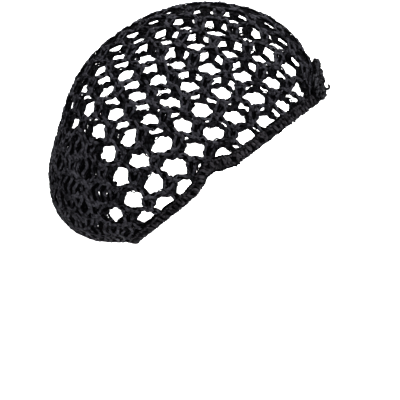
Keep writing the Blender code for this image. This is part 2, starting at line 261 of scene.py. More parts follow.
FOOT_STATIONS = 61
FOOT_SHARE = 0.7
MIDLINE_STATIONS = 90
foot_line = edge_line(np.linspace(0, 1, FOOT_STATIONS), BAND_HEIGHT * FOOT_SHARE)
back_turn = math.atan2(foot_line[-1, 2], foot_line[-1, 0]) % math.tau
front_turn = math.atan2(foot_line[0, 2], foot_line[0, 0])
midline_turn = np.linspace(back_turn, front_turn, MIDLINE_STATIONS)[1:-1]
midline = np.stack((np.cos(midline_turn), 0 * midline_turn, np.sin(midline_turn)), axis=-1)
midline = midline * reach(midline_turn)[:, None]
border_flat = lay_flat(np.concatenate((foot_line, midline)))
midline_flat = np.concatenate((border_flat[FOOT_STATIONS - 1 :], border_flat[:1]))


def nearest_on(points, start, end):
    """Nearest place to each flat point on the pieces of line from start to end."""
    run = end - start
    to = points[:, None, :] - start[None, :, :]
    t = np.clip(np.sum(to * run, axis=2) / np.maximum(np.sum(run**2, axis=1), TINY), 0, 1)
    feet = start[None, :, :] + t[:, :, None] * run
    gaps = np.linalg.norm(points[:, None, :] - feet, axis=2)
    best = gaps.argmin(axis=1)
    each = np.arange(len(points))
    return feet[each, best], gaps[each, best]


def from_border(points):
    """Distance of each flat point from the edge of the left half, negative outside it."""
    start, end = border_flat, np.roll(border_flat, -1, axis=0)
    gap = nearest_on(points, start, end)[1]
    crosses = (start[None, :, 1] > points[:, None, 1]) != (end[None, :, 1] > points[:, None, 1])
    rise = end[:, 1] - start[:, 1]
    rise = np.where(np.abs(rise) < TINY, TINY, rise)
    at = start[None, :, 0] + (points[:, None, 1] - start[None, :, 1]) / rise * (end - start)[None, :, 0]
    inside = np.sum(crosses & (points[:, None, 0] < at), axis=1) % 2 == 1
    return np.where(inside, gap, -gap)


MESH_PITCH = 0.0323
ROW_PITCH = 0.0199
ROW_DIP = math.radians(11.0)
FIRST_MESH = (0.0114, 0.0209)
KNOT_SNAP = 0.0045
KNOT_BEYOND = 0.0090
KNOT_STRAY = 0.0012
ROWS = 13
COLUMNS = 9
RING = ((1, 1), (0, 2), (-1, 1), (-1, -1), (0, -2), (1, -1))
UPPER_RIGHT, TOP, UPPER_LEFT, LOWER_LEFT, BOTTOM, LOWER_RIGHT = range(6)
rows_along = np.array((math.cos(ROW_DIP), -math.sin(ROW_DIP)))
rows_up = np.array((math.sin(ROW_DIP), math.cos(ROW_DIP)))


def flat_place(steps):
    """Flat places of points counted in half meshes along the row and thirds of a row up."""
    steps = np.asarray(steps, float)
    along = steps[..., :1] * MESH_PITCH / 2 * rows_along
    return np.array(FIRST_MESH) + along + steps[..., 1:] * ROW_PITCH / 3 * rows_up


def mesh_middles():
    """Middles of the meshes, counted in half meshes along the row and thirds of a row up."""
    rows, columns = range(-ROWS, ROWS + 1), range(-COLUMNS, COLUMNS + 1)
    return [(2 * column + row % 2, 3 * row) for row in rows for column in columns]


def mesh_graph(seed):
    """Knots round the meshes on the flat left half, and the posts and chains that join them."""
    stray = np.random.default_rng(seed)
    posts, chains = set(), set()
    for middle in mesh_middles():
        ring = [(middle[0] + along, middle[1] + up) for along, up in RING]
        for low, high in ((LOWER_LEFT, UPPER_LEFT), (LOWER_RIGHT, UPPER_RIGHT)):
            posts.add((ring[low], ring[high]))
        for a, b in ((UPPER_RIGHT, TOP), (UPPER_LEFT, TOP), (LOWER_LEFT, BOTTOM), (LOWER_RIGHT, BOTTOM)):
            chains.add(tuple(sorted((ring[a], ring[b]))))
    names = sorted({knot for pair in posts | chains for knot in pair})
    number = {name: i for i, name in enumerate(names)}
    flat = flat_place(names)
    inside = from_border(flat)
    feet, gap = nearest_on(flat, midline_flat[:-1], midline_flat[1:])
    on_midline = (gap < KNOT_SNAP) | ((inside < 0) & (gap < KNOT_BEYOND))
    flat = flat + stray.normal(0, KNOT_STRAY, flat.shape) * (inside > KNOT_SNAP)[:, None]
    flat[on_midline] = feet[on_midline]
    inside[on_midline] = 0.0
    pairs = [np.array(sorted((number[a], number[b]) for a, b in kind)) for kind in (posts, chains)]
    return {"knots": flat, "inside": inside, "on_midline": on_midline, "posts": pairs[0], "chains": pairs[1]}


halves = ({"side": 1, **mesh_graph(seed=11)}, {"side": -1, **mesh_graph(seed=12)})

RIB_POINTS = 13
RIB_SAMPLES = 41
RIB_OVERRUN = 0.0003
LEAST_RIB = 0.0040


def rib_lines(half, kind):
    """Flat centre lines of a half's posts or chains, cut where they meet the edge band or the midline."""
    lines = []
    fine = np.linspace(0, 1, RIB_SAMPLES)[:, None]
    for a, b in half[kind]:
        if half["on_midline"][a] and half["on_midline"][b] and half["side"] < 0:
            continue
        start, end = half["knots"][a], half["knots"][b]
        line = start + fine * (end - start)
        inside = np.flatnonzero(from_border(line) > -RIB_OVERRUN)
        if len(inside) < 2:
            continue
        start, end = line[inside[0]], line[inside[-1]]
        if np.linalg.norm(end - start) > LEAST_RIB:
            lines.append(start + np.linspace(0, 1, RIB_POINTS)[:, None] * (end - start))
    return np.array(lines)


def rib_frames(flat_lines, side):
    """Places, sideways directions and outward directions along centre lines laid over one side."""
    places = drape(flat_lines) * np.array((1, side, 1))
    out = unit(gradient(places))
    run = unit(np.gradient(places, axis=1))
    return places, unit(np.cross(out, run)), out


def joined_strands(bundles):
    """Bundles of strands of like numbers of points, as one."""
    return tuple(np.concatenate(parts) for parts in zip(*bundles))


def beside(frames, across, lift):
    """Strands that run beside and over centre lines: their paths, outward directions and lifts."""
    places, side, out = frames
    across, lift = np.broadcast_arrays(across, lift, places[..., 0])[:2]
    return places + across[..., None] * side + lift[..., None] * out, out, lift


def turns_along(frames, turn_length, draws):
    """Turn at each point of centre lines, once round in each turn length, from a random start."""
    places = frames[0]
    length = np.linalg.norm(np.diff(places, axis=1), axis=2).sum(axis=1)
    along = np.linspace(0, 1, places.shape[1])[None, :] * length[:, None]
    return math.tau * along / turn_length + draws.uniform(0, math.tau, (len(places), 1))


PAIR = {"reach": 0.0020, "lift": 0.0010, "turn": 0.0240, "uneven": (0.8, 1.2)}
PAIR_SLACK = {"share": 0.3, "rate": 2.7}


def laid_pair(frames, draws):
    """Two strands side by side that cross over each other as they turn."""
    turn = turns_along(frames, PAIR["turn"], draws)
    slack_start = draws.uniform(0, math.tau, (len(turn), 1))
    slack = 1 + PAIR_SLACK["share"] * np.sin(PAIR_SLACK["rate"] * turn + slack_start)
    width = PAIR["reach"] * draws.uniform(*PAIR["uneven"], (len(turn), 1)) * slack
    turns = (turn, turn + math.pi)
    return joined_strands([beside(frames, width * np.cos(t), PAIR["lift"] * np.sin(t)) for t in turns])


def wound(frames, middle, strand, turn):
    """A strand that winds round a line beside the centre lines."""
    return beside(frames, middle + strand["reach"] * np.sin(turn), strand["lift"] * np.cos(turn))


def uneven(shares, numbers, spread, draws):
    """Thickness of each strand of some bundles, a little different from strand to strand."""
    thickness = np.repeat(shares, numbers)
    return thickness * draws.uniform(*spread, len(thickness))


def new_piece(name, places, faces, material):
    """A smooth mesh from places on the bag, moved to where the bag is worn."""
    mesh = bpy.data.meshes.new(name)
    mesh.from_pydata((places.reshape(-1, 3) + side_middle).tolist(), [], faces)
    mesh.materials.append(material)
    mesh.shade_smooth()
    piece = bpy.data.objects.new(name, mesh)
    bpy.context.collection.objects.link(piece)
    return piece


YARN_WIDTH = 0.0027
YARN_DEPTH = 0.0020
YARN_SIDES = 6
STRAND_SHIFT = 0.37


def yarn_piece(name, strands, material, thickness=1.0):
    """One mesh of yarn tubes, a little flat, from their paths, outward directions and lifts."""
    paths, outs, lifts = strands
    number, points = paths.shape[:2]
    run = np.gradient(paths, axis=1)
    side = unit(np.cross(outs, run))
    out = unit(np.cross(run, side))
    turn = math.tau * np.arange(YARN_SIDES) / YARN_SIDES
    across = np.cos(turn)[:, None] * side[:, :, None, :] * YARN_WIDTH / 2
    lift = np.sin(turn)[:, None] * out[:, :, None, :] * YARN_DEPTH / 2
    thick = np.broadcast_to(np.reshape(thickness, (-1, 1, 1, 1)), (number, points, 1, 1))
    rings = paths[:, :, None, :] + thick * (across + lift)
    tube, span, corner = np.meshgrid(
        np.arange(number), np.arange(points - 1), np.arange(YARN_SIDES), indexing="ij"
    )
    here = (tube * points + span) * YARN_SIDES
    after = here + YARN_SIDES
    onward = (corner + 1) % YARN_SIDES
    walls = np.stack((here + corner, here + onward, after + onward, after + corner), axis=-1).reshape(-1, 4)
    first = (np.arange(number) * points * YARN_SIDES)[:, None] + np.arange(YARN_SIDES)
    last = first + (points - 1) * YARN_SIDES
    piece = new_piece(name, rings, walls.tolist() + first[:, ::-1].tolist() + last.tolist(), material)
    length = length_along(paths)
    offset = np.arange(number)[:, None, None] * STRAND_SHIFT
    start, end = length[tube, span] + offset, length[tube, span + 1] + offset
    low, high = corner / YARN_SIDES, (corner + 1) / YARN_SIDES
    wrap = [np.stack(pair, axis=-1) for pair in ((low, start), (high, start), (high, end), (low, end))]
    texture = np.concatenate((np.stack(wrap, axis=-2).reshape(-1), np.zeros(number * YARN_SIDES * 4)))
    piece.data.uv_layers.new(name="yarn").data.foreach_set("uv", texture.astype(np.float32))
    # Height of each point over the fabric's middle, kept as the lift attribute that the yarn materials turn
    # into painted shade: dark low in the fabric, light on top.
    heights = lifts[..., None] + thick[..., 0] * np.sin(turn) * YARN_DEPTH / 2
    raised = piece.data.attributes.new("lift", "FLOAT", "POINT")
    raised.data.foreach_set("value", heights.astype(np.float32).ravel())
    return piece


TWIST_LENGTH = 0.006
PLIES = 3.0
PLY_SHADE = (0.30, 0.25)
PLY_RELIEF = 0.6
FILAMENT_RATES = (9.0, 260.0)
FILAMENT_DETAIL = 3.0
FILAMENT_TONE = 0.5
TURN_SHADE_RATE = 150.0
TURN_SHADE_RANGE = (0.38, 0.59)
TURN_SHADE_DEEPEST = 0.22
PATCH_SCALE = 60.0
PATCH_DETAIL = 2.0
PATCH_TONE = 1.2
# Power on the painted shade, deepening it towards the pits.
HOLLOW_SHADE_POWER = 1.5
INNER_SHADE = 0.4
YARN_SPECULAR = 0.03
YARN_ROUGHNESS = (0.85, 0.42)
YARN_BUMP = {"Strength": 0.6, "Distance": 0.0004}


def add_node(tree, kind, inputs, **settings):
    """Outputs of a new shader node, whose settings are set and whose inputs are linked or set."""
    node = tree.nodes.new("ShaderNode" + kind)
    for label, value in settings.items():
        setattr(node, label, value)
    for label, value in inputs.items():
        if isinstance(value, bpy.types.NodeSocket):
            tree.links.new(value, node.inputs[label])
        else:
            node.inputs[label].default_value = value
    return node.outputs


def fibre_group():
    """Twist and fine filaments of the yarn with painted shade: a tone from 0 to 1 and a height, over the
    strand's own map.
    """
    tree = bpy.data.node_groups.new("yarn_fibres", "ShaderNodeTree")
    for label, way in (("Pit", "INPUT"), ("Crest", "INPUT"), ("Tone", "OUTPUT"), ("Relief", "OUTPUT")):
        tree.interface.new_socket(label, in_out=way, socket_type="NodeSocketFloat")
    given = tree.nodes.new("NodeGroupInput").outputs
    result = tree.nodes.new("NodeGroupOutput").inputs

    def calc(operation, *values):
        """Result of a math node."""
        return add_node(tree, "Math", dict(enumerate(values)), operation=operation)["Value"]

    def noise(detail, scale=1.0, dimensions="3D", **place):
        """Soft noise from 0 to 1."""
        inputs = {**place, "Scale": scale, "Detail": detail}
        return add_node(tree, "TexNoise", inputs, noise_dimensions=dimensions)["Fac"]

    def smooth(value, low, high, least=0.0):
        """A value drawn out smoothly between low and high, to the least and to 1."""
        inputs = {"Value": value, "From Min": low, "From Max": high, "To Min": least}
        return add_node(tree, "MapRange", inputs, interpolation_type="SMOOTHSTEP")["Result"]

    strand = add_node(tree, "UVMap", {}, uv_map="yarn")["UV"]
    split = add_node(tree, "SeparateXYZ", {"Vector": strand})
    around, along = split["X"], split["Y"]
    winding = calc("ADD", calc("MULTIPLY", around, PLIES), calc("DIVIDE", along, TWIST_LENGTH))
    ply = calc("MULTIPLY_ADD", calc("SINE", calc("MULTIPLY", winding, math.tau)), 0.5, 0.5)
    rates = [calc("MULTIPLY", way, rate) for way, rate in zip((around, along), FILAMENT_RATES)]
    drawn_out = add_node(tree, "CombineXYZ", {"X": rates[0], "Y": rates[1]})["Vector"]
    filaments = calc("MULTIPLY", noise(FILAMENT_DETAIL, Vector=drawn_out), FILAMENT_TONE)
    where = add_node(tree, "TexCoord", {})["Object"]
    patches = calc("SUBTRACT", noise(PATCH_DETAIL, PATCH_SCALE, Vector=where), 0.5)
    # Painted shade: the tone follows the same ply wave as the relief, light on each ply and dark in the
    # groove between plies; the filaments add random tone.
    texture = calc("ADD", calc("MULTIPLY_ADD", ply, *PLY_SHADE), filaments)
    texture = calc("MULTIPLY_ADD", patches, PATCH_TONE, texture)
    # Painted shade: the tone falls from the crest to the pit of the lift attribute, so yarn low in the
    # fabric is drawn dark and yarn on top light.
    height = add_node(tree, "Attribute", {}, attribute_name="lift")["Fac"]
    raised = smooth(calc("ABSOLUTE", height), given["Pit"], given["Crest"])
    tone = calc("MULTIPLY", texture, calc("POWER", raised, HOLLOW_SHADE_POWER))
    # Painted shade: a strand is darkened in stretches along its length, where it turns from the light.
    turned = noise(1.0, dimensions="1D", W=calc("MULTIPLY", along, TURN_SHADE_RATE))
    tone = calc("MULTIPLY", tone, smooth(turned, *TURN_SHADE_RANGE, TURN_SHADE_DEEPEST))
    # Painted shade: yarn below the fabric's middle, its inner face, is drawn darker still.
    outward = calc("GREATER_THAN", height, 0.0)
    tone = calc("MULTIPLY", tone, calc("MULTIPLY_ADD", outward, 1 - INNER_SHADE, INNER_SHADE))
    tree.links.new(calc("MINIMUM", calc("MAXIMUM", tone, 0.0), 1.0), result["Tone"])
    tree.links.new(calc("ADD", calc("MULTIPLY", ply, PLY_RELIEF), filaments), result["Relief"])
    return tree


yarn_fibres = fibre_group()


def toned_material(name, source, colours, roughness, bump):
    """A material whose colour, gloss and relief follow the tone and height that a source makes."""
    material = bpy.data.materials.new(name)
    material.use_nodes = True
    tree = material.node_tree
    tone, relief = source(tree)
    dark, light = ((*colour, 1.0) for colour in colours)
    colour = add_node(tree, "Mix", {"Factor": tone, "A": dark, "B": light}, data_type="RGBA")["Result"]
    ends = {"To Min": roughness[0], "To Max": roughness[1]}
    rough = add_node(tree, "MapRange", {"Value": tone, **ends})["Result"]
    normal = add_node(tree, "Bump", {"Height": relief, **bump})["Normal"]
    shader = tree.nodes["Principled BSDF"].inputs
    shader["Specular IOR Level"].default_value = YARN_SPECULAR
    for label, socket in (("Base Color", colour), ("Roughness", rough), ("Normal", normal)):
        tree.links.new(socket, shader[label])
    return material


def yarn_material(name, dark, light, pit=0.0003, crest=0.0012):
    """Black yarn: its colour and gloss follow the twist and a painted shade, dark in its pits and on its
    inner face and light on its crests, and its fibres stand up as fine relief.
    """

    def fibres(tree):
        """Tone and height from the fibres, with painted shade: dark in the pit and light on the crest of a
        strand.
        """
        made = add_node(tree, "Group", {"Pit": pit, "Crest": crest}, node_tree=yarn_fibres)
        return made["Tone"], made["Relief"]

    return toned_material(name, fibres, (dark, light), YARN_ROUGHNESS, YARN_BUMP)


# The dark colour is the yarn in its deepest painted shade and the light one the yarn lit on a crest; the
# tone mixes them.
bag_yarn = yarn_material("bag_yarn", (0.0004, 0.0004, 0.0007), (0.077, 0.076, 0.091))

THIN_STRAND = {"reach": 0.0023, "lift": 0.0014, "turn": 0.0150, "thickness": 0.55}
THIN_STRAND_BOWS = (0.0, 0.0, 0.0016)
BACK_STRAND = {"lift": -0.0016, "thickness": 1.45}
UNEVEN_YARN = (0.88, 1.12)
YARN_SEED = 21
draws = np.random.default_rng(YARN_SEED)
bag_pieces = []
for half, name in zip(halves, ("left_chains", "right_chains")):
    frames = rib_frames(rib_lines(half, "chains"), half["side"])
    number = len(frames[0])
    pair = laid_pair(frames, draws)
    wander = turns_along(frames, THIN_STRAND["turn"], draws)
    bow = draws.choice(THIN_STRAND_BOWS, (number, 1)) * np.sin(math.pi * np.linspace(0, 1, RIB_POINTS))
    bow = bow * draws.choice((-1, 1), (number, 1))
    thin = wound(frames, bow, THIN_STRAND, wander)
    back = beside(frames, 0.0, BACK_STRAND["lift"])
    shares = (1.0, 1.0, THIN_STRAND["thickness"], BACK_STRAND["thickness"])
    thickness = uneven(shares, number, UNEVEN_YARN, draws)
    bag_pieces.append(yarn_piece(name, joined_strands((pair, thin, back)), bag_yarn, thickness))

# Posts of the bag
# Pairs of tall stitches stand between neighbouring meshes of a row. The two legs of a pair leave one
# knot, spread upwards and leave a narrow dark slit. Each leg is a full strand with a thin one round it
# and a flat one behind.
POST_FOOT_SPREAD = 0.0019
POST_HEAD_SPREAD = 0.0043
UNEVEN_SPREAD = (0.75, 1.2)
BACK_SPREAD_SHARE = 0.45
LEG_THICKNESS = 1.25
WRAP_STRAND = {"reach": 0.0019, "lift": 0.0014, "turn": 0.0110, "thickness": 0.62}
for half, name in zip(halves, ("left_posts", "right_posts")):
    frames = rib_frames(rib_lines(half, "posts"), half["side"])
    rise = np.linspace(0, 1, RIB_POINTS)
    spread = POST_FOOT_SPREAD + (POST_HEAD_SPREAD - POST_FOOT_SPREAD) * np.sin(rise * math.pi / 2)
    legs = []
    for way in (-1, 1):
        middle = way * draws.uniform(*UNEVEN_SPREAD, (len(frames[0]), 1)) * spread
        wrap = turns_along(frames, WRAP_STRAND["turn"], draws)
        legs.append(beside(frames, middle, 0.0))
        legs.append(wound(frames, middle, WRAP_STRAND, wrap))
        legs.append(beside(frames, middle * BACK_SPREAD_SHARE, BACK_STRAND["lift"]))
    shares = (LEG_THICKNESS, WRAP_STRAND["thickness"], BACK_STRAND["thickness"]) * 2
    thickness = uneven(shares, len(frames[0]), UNEVEN_YARN, draws)
    bag_pieces.append(yarn_piece(name, joined_strands(legs), bag_yarn, thickness))

# Knots of the bag
# Where chains and posts meet, the yarn is drawn through itself. A threefold loop lies in the fabric
# there, with a second loop wrapped tight round its middle.
KNOT_REACH = 0.0035
KNOT_DEPTH = 0.0012
KNOT_INSET = 0.001
KNOT_SIZES = (0.85, 1.15)
KNOT_POINTS = 21
WRAP_LOOP = {"reach": 0.0021, "width_share": 0.5, "depth_share": 0.75, "lean": 0.6, "swing": 0.9}
UNEVEN_KNOTS = (0.72, 0.95)


def knot_frames(half):
    """Places and directions of a half's knots, those on the midline once only."""
    wanted = (half["inside"] > KNOT_INSET) | (half["on_midline"] & (half["side"] > 0))
    places = drape(half["knots"][wanted]) * np.array((1, half["side"], 1))
    out = unit(gradient(places))
    east = unit(np.cross(edge_up, out))
    return places, east, unit(np.cross(out, east)), out


def loops(frames, x, y, z, spin, draws):
    """The same closed loop at each place, turned in the fabric at random within a swing."""
    places, east, north, out = frames
    turn = draws.uniform(-spin, spin, (len(places), 1))
    size = draws.uniform(*KNOT_SIZES, (len(places), 1))
    across = size * (np.cos(turn) * x - np.sin(turn) * y)
    rise = size * (np.sin(turn) * x + np.cos(turn) * y)
    lift = np.broadcast_to(z, across.shape)
    paths = places[:, None] + across[..., None] * east[:, None] + rise[..., None] * north[:, None]
    paths = paths + lift[..., None] * out[:, None]
    return paths, np.broadcast_to(out[:, None], paths.shape), lift


round_once = np.linspace(0, math.tau, KNOT_POINTS)
for half, name in zip(halves, ("left_knots", "right_knots")):
    frames = knot_frames(half)
    threefold = loops(
        frames,
        KNOT_REACH / 3 * (np.sin(round_once) + 2 * np.sin(2 * round_once)),
        KNOT_REACH / 3 * (np.cos(round_once) - 2 * np.cos(2 * round_once)),
        -KNOT_DEPTH * np.sin(3 * round_once),
        math.pi,
        draws,
    )
    wrap = loops(
        frames,
        WRAP_LOOP["reach"] * WRAP_LOOP["width_share"] * np.sin(round_once),
        WRAP_LOOP["reach"] * np.cos(round_once),
        WRAP_LOOP["reach"] * WRAP_LOOP["depth_share"] * np.sin(round_once + WRAP_LOOP["lean"]),
        WRAP_LOOP["swing"],
        draws,
    )
    strands = joined_strands((threefold, wrap))
    thickness = uneven(1.0, len(strands[0]), UNEVEN_KNOTS, draws)
    bag_pieces.append(yarn_piece(name, strands, bag_yarn, thickness))

# Gathers of the bag
# Low at the back and behind the front ruffle the fabric is bunched, and its meshes are drawn shut.
# Slack strands of the same yarn run up and down across them in close waves, and along the midline.
DRAWN_SHUT = (
    {"place": "back", "forward": -1.10, "up": -0.52, "half_length": 0.50, "half_height": 0.50},
    {"place": "low back", "forward": -0.60, "up": -1.22, "half_length": 0.46, "half_height": 0.36},
    {"place": "front", "forward": 1.20, "up": 0.48, "half_length": 0.24, "half_height": 0.32},
)
GATHER_STRANDS = 3
GATHER_REACH = 0.0150
GATHER_SPACING = 0.0076
GATHER_STRAY = 0.0008
GATHER_SWAY = 0.0018
GATHER_SWAY_RATE = 5
GATHER_LEAN = 0.001
GATHER_PINCH = 0.45
GATHER_INSET = 0.0005
GATHER_POINTS = 19
GATHER_THICKNESS = 1.4
UNEVEN_GATHERS = (0.80, 1.15)
MIDLINE_GATHERS = 3
MIDLINE_SPACING = 0.0046
MIDLINE_STRAY = 0.0006
MIDLINE_REACH = 0.6
MIDLINE_SWAY_RATE = 330


def drawn_shut(points):
    """Which flat points lie where the meshes are drawn shut."""
    shut = np.zeros(len(points), bool)
    for zone in DRAWN_SHUT:
        forward = (points[:, 0] / (BAG_LENGTH / 2) - zone["forward"]) / zone["half_length"]
        up = (points[:, 1] / (BAG_HEIGHT / 2) - zone["up"]) / zone["half_height"]
        shut |= forward**2 + up**2 < 1
    return shut


def gather_lines(middles, draws):
    """Flat wavy lines across each shut mesh, kept where they lie wholly inside the half."""
    lines = []
    rise = np.linspace(-1, 1, GATHER_POINTS)
    for middle in middles:
        for strand in range(GATHER_STRANDS):
            offset = (strand - (GATHER_STRANDS - 1) / 2) * GATHER_SPACING + draws.normal(0, GATHER_STRAY)
            sway = GATHER_SWAY * np.sin(rise * GATHER_SWAY_RATE + draws.uniform(0, math.tau))
            along = offset * (1 - GATHER_PINCH * rise**2) + (sway + draws.normal(0, GATHER_LEAN) * rise)
            line = middle + along[:, None] * rows_along + (rise * GATHER_REACH)[:, None] * rows_up
            if from_border(line).min() > GATHER_INSET:
                lines.append(line)
    return np.array(lines)


def midline_gathers(draws):
    """Places and directions of slack strands beside the midline, where its meshes are drawn shut."""
    lines = []
    shut = np.flatnonzero(drawn_shut(border_flat[FOOT_STATIONS:]))
    for stretch in np.split(shut, np.flatnonzero(np.diff(shut) > 1) + 1):
        line = midline[stretch]
        length = length_along(line)
        parts = max(1, round(length[-1] / (2 * GATHER_REACH)))
        for part in range(parts):
            for row in range(-MIDLINE_GATHERS, MIDLINE_GATHERS + 1):
                at = part + 0.5 + MIDLINE_REACH * np.linspace(-1, 1, GATHER_POINTS)
                at = at / parts * length[-1]
                sway = GATHER_SWAY * np.sin(at * MIDLINE_SWAY_RATE + draws.uniform(0, math.tau))
                across = row * MIDLINE_SPACING + sway + draws.normal(0, MIDLINE_STRAY)
                lines.append(points_at(at, length, line) + across[:, None] * np.array((0, 1, 0)))
    places = onto_bag(np.array(lines))
    out = unit(gradient(places))
    return places, unit(np.cross(out, unit(np.gradient(places, axis=1)))), out


middles = flat_place(mesh_middles())
shut_middles = middles[drawn_shut(middles)]
gather_frames = [rib_frames(gather_lines(shut_middles, draws), half["side"]) for half in halves]
gather_frames.append(midline_gathers(draws))
gathers = []
for frames in gather_frames:
    wrap = turns_along(frames, WRAP_STRAND["turn"], draws)
    gathers.append(beside(frames, 0.0, 0.0))
    gathers.append(wound(frames, 0.0, WRAP_STRAND, wrap))
    for way in (-1, 1):
        gathers.append(beside(frames, way * GATHER_SPACING / 2, BACK_STRAND["lift"]))
shares = (GATHER_THICKNESS, WRAP_STRAND["thickness"], BACK_STRAND["thickness"], BACK_STRAND["thickness"])
numbers = [len(bundle[0]) for bundle in gathers]
thickness = uneven(shares * len(gather_frames), numbers, UNEVEN_GATHERS, draws)
bag_pieces.append(yarn_piece("gathered_strands", joined_strands(gathers), bag_yarn, thickness))

for piece in bag_pieces:
    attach(piece, "root")
    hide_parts("mesh_net")

# Edge band
# The opening ends in a narrow casing, worked in close stitches of the same yarn round a flat elastic
# that draws the opening in. A chain runs along its upper and its lower edge.
BAND_THICKNESS = 0.0050
BAND_FULLNESS = 3.0
CORE_DEPTH_SHARE = 0.62
CORE_HEIGHT_SHARE = 0.9
CORE_SIDES = 10
CORE_GRAIN = {"Scale": 900.0, "Detail": 4.0}
CORE_TONES = (0.5, 1.6)
CORE_ROUGHNESS = (0.95, 0.75)
CORE_BUMP = {"Strength": 0.8, "Distance": 0.0006}
ISLAND_MARGIN = 0.01
RIM_STATIONS = 241
STITCH_PITCH = 0.0052
STITCH_POINTS = 14
STITCH_LIFT = 0.0021
STITCH_BOW = 0.0009
STITCH_LEAN = 0.8
STITCH_INSET = 0.35
STITCH_STRAY = {"along": 0.0014, "height": 0.0009, "lift": 0.0003}
EDGE_CHAIN = {"strands": 3, "wave": 0.0088, "points": 8, "width": 0.00384, "depth": 0.0016, "inset": 0.0003}
EDGE_BUMP = {"reach": 0.0010, "rates": (620, 173)}
BAND_YARN_WIDTH = 0.95
UNEVEN_BAND = (0.92, 1.08)
mirror = np.array((1, -1, 1))


def round_trip(half_line):
    """A line of the left side, carried on round the right side to its start."""
    return np.concatenate((half_line, (half_line * mirror)[-2::-1]))


rim_shares = np.linspace(0, 1, RIM_STATIONS)
rim_low = round_trip(edge_line(rim_shares, 0.0))
rim_high = round_trip(edge_line(rim_shares, BAND_HEIGHT))
rim_middle = (rim_low + rim_high) / 2
rim_rise = unit(rim_high - rim_low)
rim_run = np.gradient(rim_middle, axis=0)
rim_run[0] = rim_run[-1] = rim_middle[1] - rim_middle[-2]
rim_out = unit(np.cross(rim_rise, rim_run))
rim_out = rim_out * np.sign(np.sum(rim_out * gradient(rim_middle), axis=1, keepdims=True))
rim_length = length_along(rim_middle)


def on_band(along, height, lift):
    """Places by distance round the rim, height from its middle and lift out of the band's middle."""
    along = np.mod(along, rim_length[-1])
    middle, rise, out = (points_at(along, rim_length, line) for line in (rim_middle, rim_rise, rim_out))
    return middle + height[..., None] * rise + lift[..., None] * out, out, lift


def ring_walls(rings, corners, closed):
    """Faces between neighbouring rings of corners. Where they are closed, the last ring meets the first."""
    ring, corner = np.meshgrid(np.arange(rings if closed else rings - 1), np.arange(corners), indexing="ij")
    after, onward = (ring + 1) % rings, (corner + 1) % corners
    walls = ((ring, corner), (after, corner), (after, onward), (ring, onward))
    return np.stack([row * corners + column for row, column in walls], axis=-1).reshape(-1, 4).tolist()


def closed_body(name, sections, faces, material):
    """One closed mesh whose faces look outwards."""
    piece = new_piece(name, sections, faces, material)
    bpy.ops.object.select_all(action="DESELECT")
    bpy.context.view_layer.objects.active = piece
    piece.select_set(True)
    bpy.ops.object.mode_set(mode="EDIT")
    bpy.ops.mesh.select_all(action="SELECT")
    bpy.ops.mesh.normals_make_consistent(inside=False)
    bpy.ops.uv.smart_project(island_margin=ISLAND_MARGIN)
    bpy.ops.object.mode_set(mode="OBJECT")
    piece.select_set(False)
    return piece


def core_material(name, colour):
    """Black yarn seen deep between the stitches, coloured about as dark as the yarn's pits: painted shade.
    """

    def grain(tree):
        """Fine grain for the tone and the height."""
        where = add_node(tree, "TexCoord", {})["Object"]
        fine = add_node(tree, "TexNoise", {"Vector": where, **CORE_GRAIN})["Fac"]
        return fine, fine

    colours = [[part * tone for part in colour] for tone in CORE_TONES]
    return toned_material(name, grain, colours, CORE_ROUGHNESS, CORE_BUMP)


# Painted shade: the casing is coloured nearly black, as the yarn is in its shaded pits, since it lies deep
# between the stitches.
band_core_yarn = core_material("band_core_yarn", (0.0012, 0.0012, 0.0016))
# Band stitches: the dark colour is the yarn in its deepest painted shade, the light one the yarn lit on a
# crest.
band_yarn = yarn_material(
    "band_yarn", (0.0004, 0.0004, 0.0006), (0.078, 0.074, 0.084), pit=0.0013, crest=0.0031
)

core_turn = math.tau * np.arange(CORE_SIDES) / CORE_SIDES
core_rise = np.sign(np.cos(core_turn)) * np.abs(np.cos(core_turn)) ** (2 / BAND_FULLNESS)
core_lift = np.sign(np.sin(core_turn)) * np.abs(np.sin(core_turn)) ** (2 / BAND_FULLNESS)
core_sections = (
    rim_middle[:-1, None]
    + core_rise[:, None] * rim_rise[:-1, None] * BAND_HEIGHT / 2 * CORE_HEIGHT_SHARE
    + core_lift[:, None] * rim_out[:-1, None] * BAND_THICKNESS / 2 * CORE_DEPTH_SHARE
)
core_walls = ring_walls(*core_sections.shape[:2], closed=True)
band_core = closed_body("band_elastic_casing", core_sections, core_walls, band_core_yarn)

stitches = int(rim_length[-1] / STITCH_PITCH)
pitch = rim_length[-1] / stitches
zigzag = np.linspace(0, math.tau, STITCH_POINTS)
starts = np.arange(stitches)[:, None] * pitch
bundles = []
for face in (1, -1):
    slack = draws.normal(0, STITCH_STRAY["along"], (stitches, 1))
    along = starts + pitch * np.linspace(0, 1, STITCH_POINTS) + slack * np.sin(zigzag)
    height = -np.cos(zigzag) * (BAND_HEIGHT / 2 - YARN_WIDTH * STITCH_INSET)
    height = height + draws.normal(0, STITCH_STRAY["height"], (stitches, 1))
    bow = STITCH_BOW * np.cos(zigzag + STITCH_LEAN)
    lift = face * (STITCH_LIFT + bow + draws.normal(0, STITCH_STRAY["lift"], (stitches, 1)))
    bundles.append(on_band(along, height, lift))
chain_stations = int(rim_length[-1] / (EDGE_CHAIN["wave"] / EDGE_CHAIN["points"]))
around = np.linspace(0, rim_length[-1], chain_stations)
chain_turns = round(rim_length[-1] / EDGE_CHAIN["wave"])
